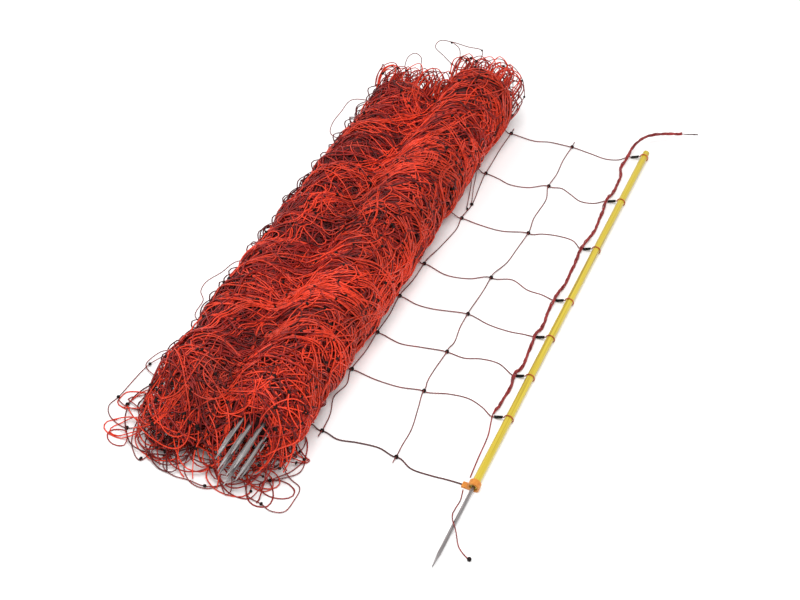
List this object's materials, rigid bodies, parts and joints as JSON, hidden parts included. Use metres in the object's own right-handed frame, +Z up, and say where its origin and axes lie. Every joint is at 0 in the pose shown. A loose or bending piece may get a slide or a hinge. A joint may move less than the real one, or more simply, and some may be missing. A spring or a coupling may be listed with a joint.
{
  "type": "electric sheep netting",
  "caption": "Folded bundle of red electric netting, its last stretch pulled out flat to a yellow end post with a steel spike, black sleeves and a twisted connection lead.",
  "frame": {"origin": "on the floor under the middle of the bundle, on its flat underside", "axes": "+Y along the bundle and the post, from the post's spike to its top; +X from the bundle to the post; +Z up"},
  "size_m": [0.6958, 1.1927, 0.1527],
  "materials": {
    "netting": "packed red polyethylene twine, slightly glossy strands, dark gaps",
    "twine": "red twisted twine with fine steel and dark tracer strands",
    "foot_twine": "thicker dark red twisted twine",
    "knot_black": "moulded black knot",
    "shaft_yellow": "smooth yellow plastic post, light sheen",
    "spike_steel": "plain drawn steel spike, slightly dulled",
    "sleeve_black": "black insulating sleeve",
    "clip_orange": "orange moulded clip",
    "lead_red": "several red strands twisted together",
    "bare_steel": "bare steel strands"
  },
  "bodies": {
    "root": {"netting_bundle": "netting", "packed_spike_1": "spike_steel", "packed_spike_2": "spike_steel", "packed_spike_3": "spike_steel", "packed_spike_4": "spike_steel", "packed_spike_5": "spike_steel", "packed_spike_6": "spike_steel", "packed_spike_7": "spike_steel", "packed_spike_8": "spike_steel", "packed_spike_9": "spike_steel", "packed_spike_10": "spike_steel", "packed_spike_11": "spike_steel", "packed_spike_12": "spike_steel", "packed_spike_13": "spike_steel", "line_wire_1": "twine", "line_wire_2": "twine", "line_wire_3": "twine", "line_wire_4": "twine", "line_wire_5": "twine", "line_wire_6": "twine", "line_wire_7": "twine", "line_wire_8": "foot_twine", "upright_string_1": "twine", "upright_string_2": "twine", "knot_1_1": "knot_black", "knot_1_2": "knot_black", "knot_1_3": "knot_black", "knot_1_4": "knot_black", "knot_1_5": "knot_black", "knot_1_6": "knot_black", "knot_1_7": "knot_black", "knot_1_8": "knot_black", "knot_2_1": "knot_black", "knot_2_2": "knot_black", "knot_2_3": "knot_black", "knot_2_4": "knot_black", "knot_2_5": "knot_black", "knot_2_6": "knot_black", "knot_2_7": "knot_black", "knot_2_8": "knot_black", "post_shaft": "shaft_yellow", "post_spike": "spike_steel", "sleeve_1": "sleeve_black", "sleeve_2": "sleeve_black", "sleeve_3": "sleeve_black", "sleeve_4": "sleeve_black", "sleeve_5": "sleeve_black", "sleeve_6": "sleeve_black", "sleeve_7": "sleeve_black", "foot_clip": "clip_orange", "connection_lead": "lead_red", "lead_bare_end": "bare_steel", "loose_tail": "twine", "tail_knot": "knot_black", "edge_loop_1": "twine", "edge_loop_2": "twine", "edge_loop_3": "twine", "edge_loop_4": "twine", "edge_loop_5": "twine", "edge_loop_6": "twine"}
  },
  "joints": []
}
